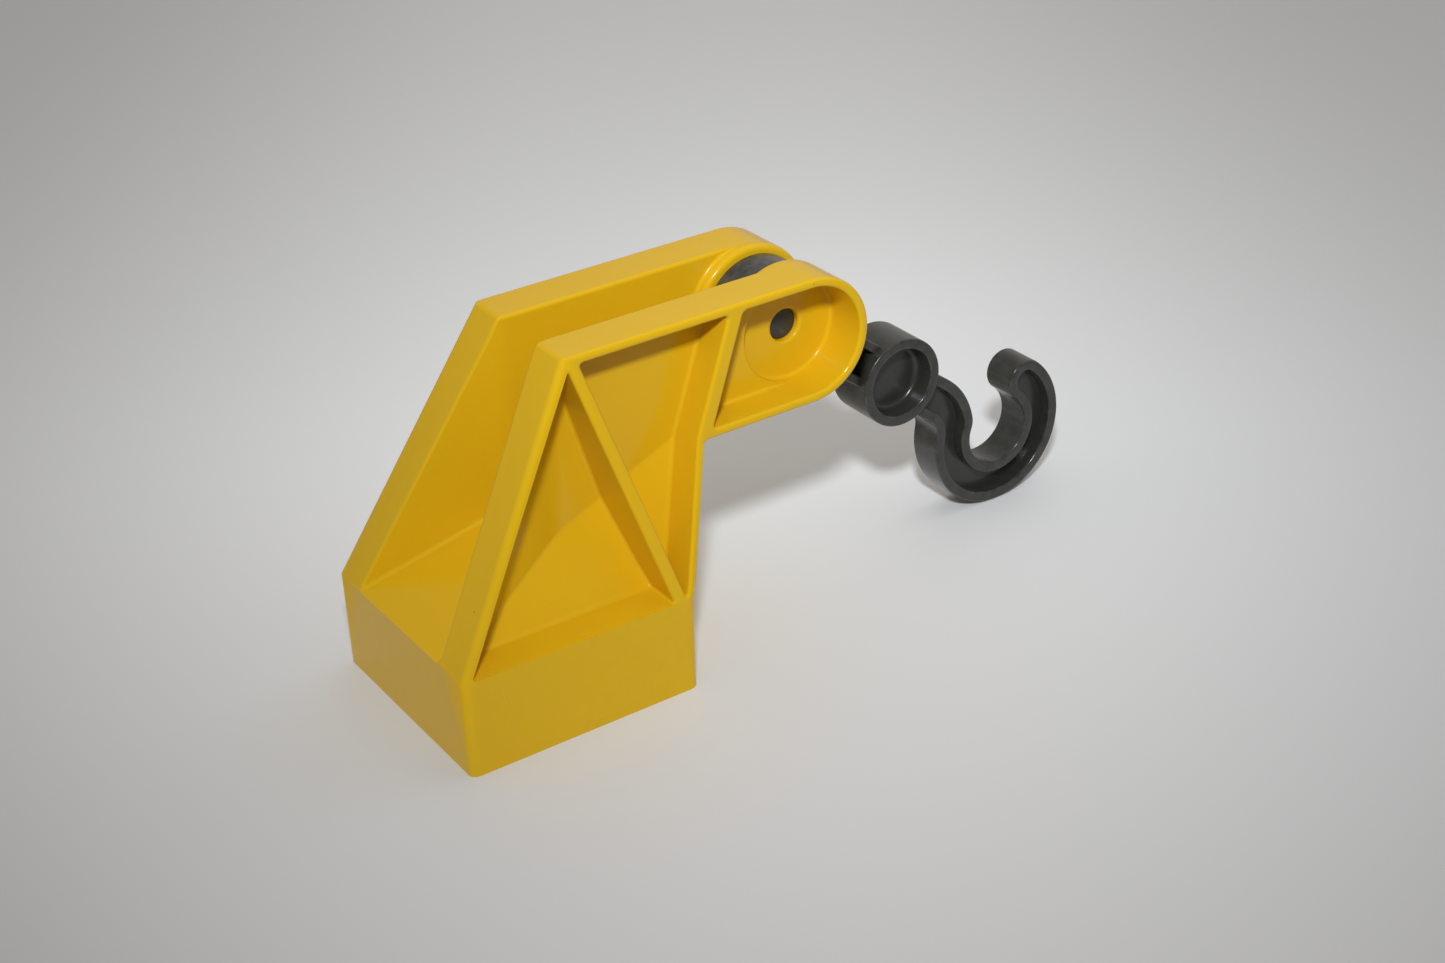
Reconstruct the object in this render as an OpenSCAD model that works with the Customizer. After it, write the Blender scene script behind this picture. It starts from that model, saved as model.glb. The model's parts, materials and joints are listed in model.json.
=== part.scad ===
// Toy crane jib on a hollow building-block base, with a swinging hook arm.
// Millimetres. +X points along the jib to the hook, +Z is up.
// The origin is the middle of the base block's underside.

/* [Base block] */
// Distance between the stud centres that the base fits
stud_pitch = 16; // [15:0.1:20]
// Diameter of those studs
stud_d = 9.4; // [8:0.1:10]
// Height of the base block
base_h = 12.8; // [10:0.1:16]
// Wall of the hollow base and of the hollow tower
wall = 1.6; // [1.2:0.1:2]
// Roof over the hollow base
roof_t = 1.5; // [1.2:0.1:2.2]
// Wall of the round tube under the base
tube_wall = 1.6; // [1.2:0.1:2]
// Thickness of the grip ribs inside the base walls
grip_rib_t = 1; // [0.6:0.1:1.6]

/* [Jib frame] */
// Height of the frame
frame_h = 45.9; // [38:0.1:56]
// Radius of the round tip, which is half the height of the jib
tip_r = 8.2; // [7:0.1:9.6]
// Run of the sloping rear edge, seen from the side
rear_run = 19.25; // [14:0.05:23]
// Overhang of the elbow past the base's front face
elbow_run = 5.9; // [4:0.1:8]
// Reach of the pivot past the elbow
jib_reach = 16.3; // [13:0.1:22]
// Width of the jib over both side plates
jib_w = 20.7; // [18:0.1:25]
// Gap between the side plates along the jib
jib_gap = 8.2; // [7.4:0.1:9]
// Gap between the side plates at the rear of the base
rear_gap = 20.4; // [16:0.1:24]
// Thickness of the webs behind the side pockets
web_t = 1.5; // [1.2:0.1:2]
// Half width of the tower's skirt where it meets the base roof
skirt_half = 10.7; // [9.4:0.1:12.5]
// Width of the rims round the side pockets
rim = 1.2; // [0.9:0.1:1.6]
// Width of the diagonal brace
brace_w = 1.7; // [1.2:0.1:2.4]
// Distance of the brace's foot from the base's front corner
brace_foot = 2.1; // [1.5:0.1:3]
// Distance of the brace's head from the top bend
brace_head = 0.9; // [0.6:0.1:2]
// Width of the upright strut ahead of the line of the tower's front
strut_ahead = 0.85; // [0.5:0.05:1.5]

/* [Hook arm] */
// Distance from the pivot to the middle of the barrel
link_len = 23.5; // [20:0.1:29]
// Distance from the pivot to the middle of the hook's bowl
hook_reach = 45.1; // [41:0.1:55]
// Thickness of the arm
arm_t = 4.8; // [4:0.1:5.2]
// Height of the arm's bar, seen from the side
bar_h = 6.1; // [5:0.1:7]
// Width of the arm's raised edges
edge_w = 1.3; // [0.9:0.1:1.6]
// Thickness of the middle web
arm_web_t = 1.3; // [1:0.1:2]
// Radius of the hub drum
hub_r = 7.2; // [6:0.1:8]
// Radius of the sleeve round the pin
sleeve_r = 3.6; // [3.2:0.1:4.4]
// Outer radius of the barrel
barrel_r = 6.1; // [5.2:0.1:7.2]
// Wall of the barrel
barrel_wall = 1.4; // [1:0.1:2]
// Inner radius of the hook's bowl
bowl_r = 5.1; // [4.4:0.1:6]
// Width of the hook's band
band_w = 5.6; // [4.8:0.1:6.4]
// Angle round the bowl at which the hook's tip ends
tip_angle = 87; // [60:1:110]
// Radius of the shank's bend, from the bar down to the bowl
shank_r = 11.3; // [10.5:0.1:13]
// Angle round the bowl at which the throat starts
throat_angle = 196; // [190:0.5:205]
// Radius that rounds the throat between bowl and shank
throat_r = 3; // [2:0.1:3.6]
// Radius of the fillet under the shank
heel_r = 3; // [2:0.1:4]

/* [Pivot] */
// Diameter of the pivot pin
pin_d = 4.2; // [3.4:0.1:5.2]
// Depth of the pin's ends below the hub recess
pin_inset = 0.8; // [0.4:0.1:1]

/* [Hidden] */
$fn = 96;
YELLOW = "#e8b010";
GREY = "#565654";

// Clearances
block_gap = 0.2;
stud_grip = 0.05;
pin_play = 0.06;
hub_play = 0.1;
barrel_play = 0.7;
floor_gap = 0.03;
tube_lift = 0.3;
// Height of the hub drum's ends above the arm's faces
hub_proud = 0.2;
// Overlap that keeps cuts and joins clean, and the reach of open-ended cuts
bite = 0.05;
beyond = 100;
// Angle between the points of a computed arc
arc_step = 5;

// Side view of the frame, as [x, z]
base_w = 2 * stud_pitch - block_gap;
base_x = base_w / 2;
heel = [-base_x, base_h];
toe = [base_x, base_h];
bend = [rear_run - base_x, frame_h];
elbow = [base_x + elbow_run, frame_h - 2 * tip_r];
pivot = [elbow.x + jib_reach, frame_h - tip_r];
front_lean = (elbow.x - toe.x) / (elbow[1] - toe[1]);
front_angle = atan(front_lean);
trough_rise = (elbow[1] - heel[1]) / (elbow.x - heel.x);
function trough_z(x) = base_h + trough_rise * (x - heel.x);
// x of the tower's front line, carried on up the jib, at height z
function front_x(z) = toe.x + front_lean * (z - base_h);

// Cross section of the frame
web_half = jib_gap / 2 + web_t;
rear_web_half = rear_gap / 2 + web_t;
hub_face = arm_t / 2 + hub_proud;
boss_face = hub_face + hub_play;
recess_floor = boss_face + web_t;
floor_drop = roof_t + trough_rise * wall;
pocket_r = tip_r - rim;

// Underside of the base
tube_r = stud_pitch / sqrt(2) - stud_d / 2 - stud_grip;
grip_face = stud_pitch / 2 + stud_d / 2 + stud_grip;

// Pin and hub
pin_r = pin_d / 2;
pin_half = recess_floor - pin_inset;
barrel_half = jib_gap / 2 - barrel_play;

// Outline of the hook, in the arm's own view: u along the bar, v across it
bowl = [hook_reach, 0];
hook_r = bowl_r + band_w;
throat_c = bowl + (bowl_r + throat_r) * [cos(throat_angle), sin(throat_angle)];
shank_v = bar_h / 2 - shank_r;
shank_c = [throat_c.x - sqrt(pow(shank_r - throat_r, 2) - pow(throat_c.y - shank_v, 2)), shank_v];
heel_v = -bar_h / 2 - heel_r;
heel_c = [bowl.x - sqrt(pow(hook_r + heel_r, 2) - pow(heel_v, 2)), heel_v];

// At rest the hook lies on the surface that the base stands on
rest_angle = asin((hook_r + floor_gap - pivot[1]) / hook_reach);

function angle_of(v) = atan2(v.y, v.x);
function arc(c, r, from, to) =
  let (n = ceil(abs(to - from) / arc_step))
  [for (i = [0:n]) let (a = from + (to - from) * i / n) c + r * [cos(a), sin(a)]];

// Outline of shank and hook, drawn in from the real edge by inset
function hook_outline(inset) =
  let (
    heel_end = angle_of(bowl - heel_c),
    throat_start = angle_of(bowl - throat_c),
    shank_start = angle_of(throat_c - shank_c),
    tip_c = bowl + (bowl_r + band_w / 2) * [cos(tip_angle), sin(tip_angle)]
  )
  concat(
    [[link_len, -bar_h / 2 + inset]],
    arc(heel_c, heel_r + inset, 90, heel_end),
    arc(bowl, hook_r - inset, 180 + heel_end, 360 + tip_angle),
    arc(tip_c, band_w / 2 - inset, tip_angle, tip_angle + 180),
    arc(bowl, bowl_r + inset, tip_angle, angle_of(throat_c - bowl)),
    arc(throat_c, throat_r - inset, throat_start, shank_start),
    arc(shank_c, shank_r - inset, shank_start, 90),
    [[link_len, bar_h / 2 - inset]]
  );

// Extrudes a side view across the part, from y = -half to half
module across(half) {
  rotate([90, 0, 0])
    linear_extrude(2 * half, center = true)
      children();
}

// Extrudes a side view outwards on both sides, from y = from to y = to
module both_sides(from, to) {
  for (side = [-1, 1])
    translate([0, side * (from + to) / 2, 0])
      across((to - from) / 2)
        children();
}

// Cylinder across the part at a point of the side view
module across_cylinder(at, r, half) {
  translate([at.x, 0, at[1]])
    rotate([90, 0, 0])
      cylinder(r = r, h = 2 * half, center = true);
}

// Outer form of the tower: flat sides that lean in from the base to the jib,
// folded along the diagonal from the top bend to the base's front corner
module tower_blank() {
  corners = [heel, toe, elbow, bend];
  half = [base_w / 2, base_w / 2, jib_w / 2, jib_w / 2];
  points = [
    for (side = [-1, 1])
      for (i = [0:3]) [corners[i].x, side * half[i], corners[i][1]]
  ];
  near = [[0, 3, 1], [3, 2, 1]];
  far = [[4, 5, 7], [7, 5, 6]];
  round_faces = [for (i = [0:3]) let (j = (i + 1) % 4) [i, j, j + 4, i + 4]];
  polyhedron(points, concat(near, far, round_faces));
}

// Wedge under the sloping trough, with sides that lean out to the skirt
module trough_wedge(rear, front, crease, top, base_half, top_half) {
  side_view = [rear, front, top, crease];
  half = [base_half, base_half, top_half, top_half];
  points = [
    for (side = [-1, 1])
      for (i = [0:3]) [side_view[i].x, side * half[i], side_view[i][1]]
  ];
  near = [[0, 3, 1], [3, 2, 1]];
  far = [[4, 5, 7], [7, 5, 6]];
  round_faces = [for (i = [0:3]) let (j = (i + 1) % 4) [i, j, j + 4, i + 4]];
  polyhedron(points, concat(near, far, round_faces));
}

// Solid body of the tower, below the trough and between the side pockets
module tower_core() {
  crease = [bend.x, trough_z(bend.x)];
  trough_wedge(heel, toe, crease, elbow, skirt_half, web_half);
}

// Hollow of the tower, open to the hollow base below
module tower_hollow() {
  z0 = base_h - roof_t;
  set_back = wall / cos(front_angle);
  rear = [wall - base_x, z0];
  front = [front_x(z0) - set_back, z0];
  crease = [bend.x, trough_z(bend.x) - floor_drop];
  top_z = (base_h - floor_drop + trough_rise * (2 * base_x - set_back - front_lean * base_h))
    / (1 - trough_rise * front_lean);
  top = [front_x(top_z) - set_back, top_z];
  translate([0, 0, -bite])
    trough_wedge(rear, front, crease, top, skirt_half - wall, web_half - wall);
}

// Plan of the space between the side plates, widened on each side by extra
module plate_gap_plan(extra) {
  half = jib_gap / 2 + extra;
  rear_half = rear_gap / 2 + extra;
  splay = (rear_half - half) / rear_run;
  start = -base_x - rear_run;
  start_half = rear_half + splay * rear_run;
  polygon([
    [start, -start_half], [bend.x, -half], [beyond, -half],
    [beyond, half], [bend.x, half], [start, start_half]
  ]);
}

// Trough along the tower and open gap along the jib
module trough() {
  rear_x = heel.x - rear_run;
  intersection() {
    linear_extrude(beyond)
      plate_gap_plan(0);
    across(base_w)
      polygon([
        [rear_x, base_h], heel, elbow, [elbow.x, elbow[1] - bite],
        [beyond, elbow[1] - bite], [beyond, beyond], [rear_x, beyond]
      ]);
  }
}

// Side view of the three pockets between rims, brace and strut
module rear_pocket() {
  slope = (frame_h - base_h) / rear_run;
  rim_x = rim * sqrt(1 + slope * slope) / slope;
  brace_run = (toe.x - brace_foot - bend.x - brace_head) / (frame_h - base_h);
  brace_x = brace_w / 2 * sqrt(1 + brace_run * brace_run);
  apex_h = (toe.x - brace_foot - brace_x - heel.x - rim_x) / (1 / slope + brace_run);
  polygon([
    [heel.x + rim_x, base_h],
    [toe.x - brace_foot - brace_x, base_h],
    [heel.x + rim_x + apex_h / slope, base_h + apex_h]
  ]);
}

module middle_pocket() {
  brace_run = (toe.x - brace_foot - bend.x - brace_head) / (frame_h - base_h);
  brace_x = brace_w / 2 * sqrt(1 + brace_run * brace_run);
  rim_x = rim / cos(front_angle);
  top = frame_h - rim;
  foot_gap = brace_foot - brace_x - rim_x;
  foot_z = base_h - foot_gap / (front_lean + brace_run);
  polygon([
    [front_x(foot_z) - rim_x, max(foot_z, base_h)],
    [front_x(top) - rim_x, top],
    [bend.x + brace_head + brace_x + brace_run * rim, top]
  ]);
}

module hub_pocket() {
  ahead_x = strut_ahead / cos(front_angle);
  low = elbow[1] + rim;
  top = frame_h - rim;
  polygon([
    [front_x(low) + ahead_x, low], [pivot.x, low],
    [pivot.x, top], [front_x(top) + ahead_x, top]
  ]);
  translate(pivot)
    circle(pocket_r);
}

module side_pockets() {
  difference() {
    both_sides(0, base_w) {
      rear_pocket();
      middle_pocket();
      hub_pocket();
    }
    linear_extrude(beyond)
      plate_gap_plan(web_t);
    tower_core();
  }
}

// Hollow underside with a round tube and ribs that grip the studs
module base_hollow() {
  inner = base_w - 2 * wall;
  translate([-inner / 2, -inner / 2, -bite])
    cube([inner, inner, base_h - roof_t + bite]);
  tower_hollow();
}

module stud_tube() {
  intersection() {
    difference() {
      translate([0, 0, tube_lift])
        cylinder(r = tube_r, h = beyond);
      translate([0, 0, -bite])
        cylinder(r = tube_r - tube_wall, h = beyond);
    }
    translate([0, 0, -roof_t / 2])
      union() {
        tower_core();
        translate([-base_x, -base_x, 0])
          cube([base_w, base_w, base_h + bite]);
      }
  }
}

module grip_ribs() {
  depth = base_x - wall - grip_face + bite;
  for (turn = [0:90:270], side = [-1, 1])
    rotate([0, 0, turn])
      translate([grip_face, side * stud_pitch / 2 - grip_rib_t / 2, 0])
        cube([depth, grip_rib_t, base_h - roof_t + bite]);
}

// One moulding: hollow base, tower, two side plates and the pivot bosses
module jib_frame() {
  color(YELLOW)
    difference() {
      union() {
        difference() {
          union() {
            translate([-base_x, -base_x, 0])
              cube([base_w, base_w, base_h]);
            tower_blank();
            across(jib_w / 2) {
              polygon([bend, elbow, [pivot.x, elbow[1]], [pivot.x, frame_h]]);
              translate(pivot)
                circle(tip_r);
            }
          }
          trough();
          side_pockets();
          base_hollow();
        }
        both_sides(boss_face, jib_gap / 2 + bite)
          translate(pivot)
            circle(tip_r);
        stud_tube();
        grip_ribs();
      }
      both_sides(recess_floor, jib_w)
        translate(pivot)
          circle(pocket_r);
      across_cylinder(pivot, pin_r, jib_w);
    }
}

// Round pin, pressed into both plates
module axle_pin() {
  color(GREY)
    across_cylinder(pivot, pin_r, pin_half);
}

// Side view of the arm's bar between hub and barrel
module bar_view(inset) {
  translate([0, inset - bar_h / 2])
    square([link_len, bar_h - 2 * inset]);
}

// Everything of the arm that is arm_t thick, less the grooves along its faces
module arm_channel() {
  difference() {
    across(arm_t / 2) {
      bar_view(0);
      polygon(hook_outline(0));
    }
    both_sides(arm_web_t / 2, arm_t)
      difference() {
        union() {
          bar_view(edge_w);
          polygon(hook_outline(edge_w));
        }
        circle(hub_r - edge_w);
        translate([link_len, 0])
          circle(barrel_r);
      }
  }
}

// One moulding: hub drum, bar, barrel and hook, with a web down the middle
module hook_arm() {
  color(GREY)
    translate([pivot.x, 0, pivot[1]])
      rotate([0, -rest_angle, 0])
        difference() {
          union() {
            arm_channel();
            across_cylinder([0, 0], hub_r, hub_face);
            across_cylinder([link_len, 0], barrel_r, barrel_half);
          }
          both_sides(arm_web_t / 2, arm_t)
            difference() {
              circle(hub_r - edge_w);
              circle(sleeve_r);
            }
          both_sides(arm_web_t / 2, jib_gap)
            translate([link_len, 0])
              circle(barrel_r - barrel_wall);
          across_cylinder([0, 0], pin_r + pin_play, arm_t);
        }
}

jib_frame();
axle_pin();
hook_arm();
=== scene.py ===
"""Toy crane jib: a moulded yellow frame on a block base, and a grey hook arm on its pin."""
import json
import math

import bmesh
import bpy
from mathutils import Matrix, Vector


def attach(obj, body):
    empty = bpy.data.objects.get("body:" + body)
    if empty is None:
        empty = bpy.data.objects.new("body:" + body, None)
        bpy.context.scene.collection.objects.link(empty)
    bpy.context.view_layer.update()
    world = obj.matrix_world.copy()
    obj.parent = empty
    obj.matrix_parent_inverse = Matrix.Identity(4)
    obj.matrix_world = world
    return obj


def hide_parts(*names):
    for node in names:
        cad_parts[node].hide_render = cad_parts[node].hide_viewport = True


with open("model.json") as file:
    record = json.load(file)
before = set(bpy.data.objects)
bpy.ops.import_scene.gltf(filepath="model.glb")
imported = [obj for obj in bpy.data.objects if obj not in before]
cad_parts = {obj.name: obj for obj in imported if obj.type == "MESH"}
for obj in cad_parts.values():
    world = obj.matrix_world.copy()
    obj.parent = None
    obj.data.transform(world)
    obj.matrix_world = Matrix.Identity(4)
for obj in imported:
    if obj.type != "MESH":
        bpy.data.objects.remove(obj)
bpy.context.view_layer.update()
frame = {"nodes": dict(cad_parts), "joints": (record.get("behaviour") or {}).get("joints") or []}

scene = bpy.context.scene
MM = 0.001

# Sizes of the hook arm and pin in millimetres. The arm's outer outline is that of the CAD part;
# its thickness, edges, bowl and barrel are up to 0.25 mm fuller on each side, as the photo shows
LINK_LEN = 23.5
HOOK_REACH = 45.1
ARM_T = 5.1
BAR_H = 6.1
EDGE_W = 1.45
ARM_WEB_T = 1.3
HUB_R = 7.2
HUB_FACE = 2.6
SLEEVE_R = 3.6
BARREL_R = 6.1
BARREL_WALL = 1.4
BARREL_HALF = 3.6
BARREL_FILLET = 0.9
BOWL_R = 4.85
BAND_W = 5.85
TIP_ANGLE = 87.0
SHANK_R = 11.3
THROAT_ANGLE = 196.0
THROAT_R = 3.1
HEEL_R = 3.0
PIN_R = 2.1
PIN_HALF = 3.4
PIN_PLAY = 0.06
FLOOR_GAP = 0.03
PIVOT = Vector(frame["joints"][0]["pos_m"])

# Roundings of the moulded edges, in millimetres, and the steps of each
FRAME_ROUND = 0.45
FRAME_FILLET = 0.5
CREASE_ROUND = 0.25
CORNER_ROUND = 1.4
HOLE_ROUND = 0.45
RECESS_ROUND = 0.2
ARM_ROUND = 0.28
SMALL_ROUND = 0.3
ROUND_STEPS = 4
# Sides of a turned piece, and of the pin, and the steps of an arc in degrees
TURNED_SIDES = 96
PIN_SIDES = 64
ARC_STEP = 3.0
# Turns in degrees: the frame's edges are rounded from the last on, and of those between the first
# and the last only the folds of the skirts, from the second on
SOFT_CREASE = 12.0
SKIRT_FOLD = 20.0
HARD_CREASE = 40.0
# An edge is shaded sharp from the first turn on, and one longer than the length, in millimetres,
# from the second on
SHARP_TURN = 50.0
CREASE_TURN = 27.0
LONG_CREASE = 2.0
# Triangles that turn less than this are one flat face
FLAT_TURN = 0.4
# How much flat faces lead the shading of the roundings beside them, in percent
FLAT_LEAD = 80
# A point is fully worn where the surface turns this much; the hub drum is lightened all round,
# partly rubbed and partly painted sheen
WORN_TURN = 30.0
DRUM_RUBBED_AND_SHEEN = 1.0
# How near counts as there, in millimetres: close by, at a fold, and at a point
NEAR_BY = 0.1
AT_FOLD = 0.02
AT_POINT = 0.01
# The same in metres: for welding points, for edges that are level or on the floor, and for the
# cuts in the middle and at the bend
WELD = 2e-6
LEVEL = 1e-6
ON_MIDDLE = 1e-7
ON_BEND = 1e-8
# A corner of an outline is on the axis within so many millimetres, and straight from this angle on
ON_AXIS = 1e-6
STRAIGHT = 179.0
# Places on the frame, in millimetres. Half the base's width, the inner face and the pocket floor
# of a side plate, where the plates start to splay, how soft that bend is, and the slope behind it
BASE_HALF = 15.9
PLATE_INNER = 4.1
PLATE_OUTER = 5.6
BEND_X = 3.35
BEND_HALF = 1.2
SPLAY = 6.1 / 19.25
# How far out the folds of the skirts reach
POCKET_DEEPEST = 11.5
# The recess at the pivot, how far out its edge lies at most, and the round tip
RECESS_R = 7.0
RECESS_FLOOR = 4.2
RECESS_EDGE = 6.0
TIP_R = 8.2
# The pivot boss: its face, rim and lip, the room cut for it, its flared foot, which sinks into the
# plate and starts past the rim, and its bore
BOSS_FACE = 2.7
BOSS_R = 8.19
BOSS_INNER_R = 6.985
BOSS_CUT_R = 7.6
BOSS_CUT_HALF = 4.75
BOSS_TOP = 4.8
BOSS_ROUND = 0.75
BOSS_FILLET = 0.5
BOSS_FILLET_END = 112.0
BOSS_FILLET_STEP = 12.0
BOSS_SINK = 0.1
PAST_RIM = 0.001
BORE_ROUND = 0.1
# The plug that fills the CAD hole and the blank that clears the CAD bosses away: how far both reach
# past them, half the plug's length, and how far the blank stops short of the plates
BLANK_MARGIN = 1.0
PLUG_HALF = 4.65
BLANK_GAP = 0.0005
# Straight edges that run into a round of the tip lose their rounding there: how far out such
# edges lie, the radius of the round, the steps, and the turn in degrees that is shaded sharp there
FADE_PLACES = ((PLATE_INNER, TIP_R), (PLATE_OUTER, RECESS_R))
FADE_STEP = 1.0
FADE_STEPS = 5
FADE_CREASE = 5.0
# The pocket corners that take in the very short edges about them, and how far they reach
POCKET_CORNERS = ((14.66, 10.65, 12.89), (3.82, 5.6, 44.32), (5.48, 10.35, 44.7))
GATHER = 1.2
# The ends of the fold along the brace, and a point on the roof of the hollow under the base
BRACE_FOLD = ((3.35, 10.35, 45.9), (10.82, 13.65, 26.21))
HOLLOW_ROOF = Vector((0.0, 12.5, 11.3))
# Faces whose corners lie further than this off their plane are split into triangles
WARP_LIMIT = 0.02


def link(data, name):
    """Puts a mesh, curve, lamp or camera in the scene as an object at the origin."""
    obj = bpy.data.objects.new(name, data)
    scene.collection.objects.link(obj)
    return obj


def settle(obj, name):
    """Makes an object's modifiers its plain mesh, and returns the finished object."""
    graph = bpy.context.evaluated_depsgraph_get()
    mesh = bpy.data.meshes.new_from_object(
        obj.evaluated_get(graph), preserve_all_data_layers=True, depsgraph=graph
    )
    mesh.name = name
    bpy.data.objects.remove(obj)
    return link(mesh, name)


# Materials

# Skin: the grain's height beside the sink marks, and the slow tone
GRAIN_SHARE = 0.12
TONE_SCALE = 60.0
TONE_RANGE = (0.3, 0.7)
# Specks: the least size and the growth to the largest, their soft edge, sizes and strengths
SPECK_LEAST = 0.4
SPECK_GROWTH = 0.8
SPECK_EDGE = (0.7, 1.2)
DARK_SIZE = 0.05
PALE_SIZE = 0.06
DARK_STRENGTH = 0.75
PALE_STRENGTH = 0.6
# Scuffs: lines where a noise is at its middle, the turn and stretch of each set of lines, their
# soft edge and width, and the patches they lie in
NOISE_MIDDLE = 0.5
SCUFF_DIRECTIONS = (
    ((0.3, 0.5, 0.2), (1.0, 0.14, 0.14)),
    ((-0.4, 0.9, 1.1), (0.12, 1.0, 0.12)),
)
SCUFF_EDGE = (0.3, 1.0)
SCUFF_WIDTH = 0.012
PATCH_SCALE = 110.0
PATCH_EDGE = 0.16
# Worn edges, and the hub drum's partly painted sheen: how they are broken up
WEAR_RANGE = (0.36, 0.62)
WEAR_SCALE = 600.0
# What tone, scuffs, dust and wear add to the roughness, and scuffs to the height
TONE_ROUGH = 0.06
SCUFF_ROUGH = 0.22
DUST_ROUGH = 0.3
WEAR_ROUGH = -0.05
SCUFF_HEIGHT = -0.05
BUMP_DISTANCE = 0.00012
PLASTIC_IOR = 1.5
# Sockets of a mix node that mixes colours
MIX_FACTOR = 0
MIX_BASE = 6
MIX_OVER = 7
MIX_RESULT = 2


def new_group(name, inputs, outputs):
    """A shader node group with named float, vector or colour sockets."""
    group = bpy.data.node_groups.new(name, "ShaderNodeTree")
    for kind, direction in ((inputs, "INPUT"), (outputs, "OUTPUT")):
        for socket, (socket_type, default) in kind.items():
            made = group.interface.new_socket(
                socket, in_out=direction, socket_type="NodeSocket" + socket_type
            )
            if default is not None:
                made.default_value = default
    return group, group.nodes.new("NodeGroupInput"), group.nodes.new("NodeGroupOutput")


def feed(tree, socket, value):
    """Sets a socket to a number, or links it to another node's output."""
    if isinstance(value, (int, float)):
        socket.default_value = value
    else:
        tree.links.new(value, socket)


def math_node(tree, operation, *values):
    """The result of one math operation on numbers or outputs."""
    node = tree.nodes.new("ShaderNodeMath")
    node.operation = operation
    for socket, value in zip(node.inputs, values):
        feed(tree, socket, value)
    return node.outputs[0]


def facing(tree, where, direction):
    """How far a place or direction reaches along a given direction."""
    node = tree.nodes.new("ShaderNodeVectorMath")
    node.operation = "DOT_PRODUCT"
    tree.links.new(where, node.inputs[0])
    node.inputs[1].default_value = direction
    return node.outputs["Value"]


def ramp(tree, value, low, high):
    """A smooth step of a value, from 0 at low to 1 at high."""
    node = tree.nodes.new("ShaderNodeMapRange")
    node.interpolation_type = "SMOOTHSTEP"
    for name, given in (("Value", value), ("From Min", low), ("From Max", high)):
        feed(tree, node.inputs[name], given)
    return node.outputs["Result"]


def noise(tree, vector, scale, detail=2.0, roughness=0.5):
    """The value of a noise texture, about 0.5 on average."""
    node = tree.nodes.new("ShaderNodeTexNoise")
    tree.links.new(vector, node.inputs["Vector"])
    feed(tree, node.inputs["Scale"], scale)
    node.inputs["Detail"].default_value = detail
    node.inputs["Roughness"].default_value = roughness
    return node.outputs["Fac"]


def moulded_skin_group():
    """The skin of a moulded plastic: faint grain, slow sink marks and slow tone."""
    group, inp, out = new_group(
        "moulded_skin",
        {
            "Vector": ("Vector", None),
            "Grain Scale": ("Float", 4000.0),
            "Sink Scale": ("Float", 90.0),
        },
        {"Height": ("Float", None), "Tone": ("Float", None)},
    )
    where = inp.outputs["Vector"]
    grain = noise(group, where, inp.outputs["Grain Scale"], detail=3.0, roughness=0.6)
    sink = noise(group, where, inp.outputs["Sink Scale"])
    height = math_node(group, "MULTIPLY_ADD", grain, GRAIN_SHARE, sink)
    group.links.new(height, out.inputs["Height"])
    tone = noise(group, where, TONE_SCALE, detail=4.0, roughness=0.55)
    group.links.new(ramp(group, tone, *TONE_RANGE), out.inputs["Tone"])
    return group


def specks_group():
    """Specks of dust: small dots in some of the cells of a random pattern."""
    group, inp, out = new_group(
        "dust_specks",
        {
            "Vector": ("Vector", None),
            "Cell Scale": ("Float", 400.0),
            "Share": ("Float", 0.1),
            "Size": ("Float", 0.1),
        },
        {"Mask": ("Float", None)},
    )
    cells = group.nodes.new("ShaderNodeTexVoronoi")
    group.links.new(inp.outputs["Vector"], cells.inputs["Vector"])
    group.links.new(inp.outputs["Cell Scale"], cells.inputs["Scale"])
    split = group.nodes.new("ShaderNodeSeparateColor")
    group.links.new(cells.outputs["Color"], split.inputs["Color"])
    chosen = math_node(group, "LESS_THAN", split.outputs["Red"], inp.outputs["Share"])
    grown = math_node(group, "MULTIPLY_ADD", split.outputs["Green"], SPECK_GROWTH, SPECK_LEAST)
    radius = math_node(group, "MULTIPLY", inp.outputs["Size"], grown)
    far = math_node(group, "DIVIDE", cells.outputs["Distance"], radius)
    dot = math_node(group, "SUBTRACT", 1.0, ramp(group, far, *SPECK_EDGE))
    group.links.new(math_node(group, "MULTIPLY", dot, chosen), out.inputs["Mask"])
    return group


def scuffs_group():
    """Fine scuffs: thin lines in worn patches, stretched along the handling direction."""
    group, inp, out = new_group(
        "scuffs",
        {
            "Vector": ("Vector", None),
            "Scale": ("Float", 160.0),
            "Width": ("Float", 0.01),
            "Worn": ("Float", 0.5),
        },
        {"Mask": ("Float", None)},
    )
    lines = None
    for turn, stretch in SCUFF_DIRECTIONS:
        place = group.nodes.new("ShaderNodeMapping")
        place.inputs["Rotation"].default_value = turn
        place.inputs["Scale"].default_value = stretch
        group.links.new(inp.outputs["Vector"], place.inputs["Vector"])
        field = noise(group, place.outputs["Vector"], inp.outputs["Scale"], detail=1.0)
        off = math_node(group, "ABSOLUTE", math_node(group, "SUBTRACT", field, NOISE_MIDDLE))
        near = math_node(group, "DIVIDE", off, inp.outputs["Width"])
        line = math_node(group, "SUBTRACT", 1.0, ramp(group, near, *SCUFF_EDGE))
        lines = line if lines is None else math_node(group, "MAXIMUM", lines, line)
    patch = noise(group, inp.outputs["Vector"], PATCH_SCALE, detail=3.0, roughness=0.6)
    low = math_node(group, "SUBTRACT", 1.0, inp.outputs["Worn"])
    high = math_node(group, "ADD", low, PATCH_EDGE)
    worn = ramp(group, patch, low, high)
    group.links.new(math_node(group, "MULTIPLY", lines, worn), out.inputs["Mask"])
    return group


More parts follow.
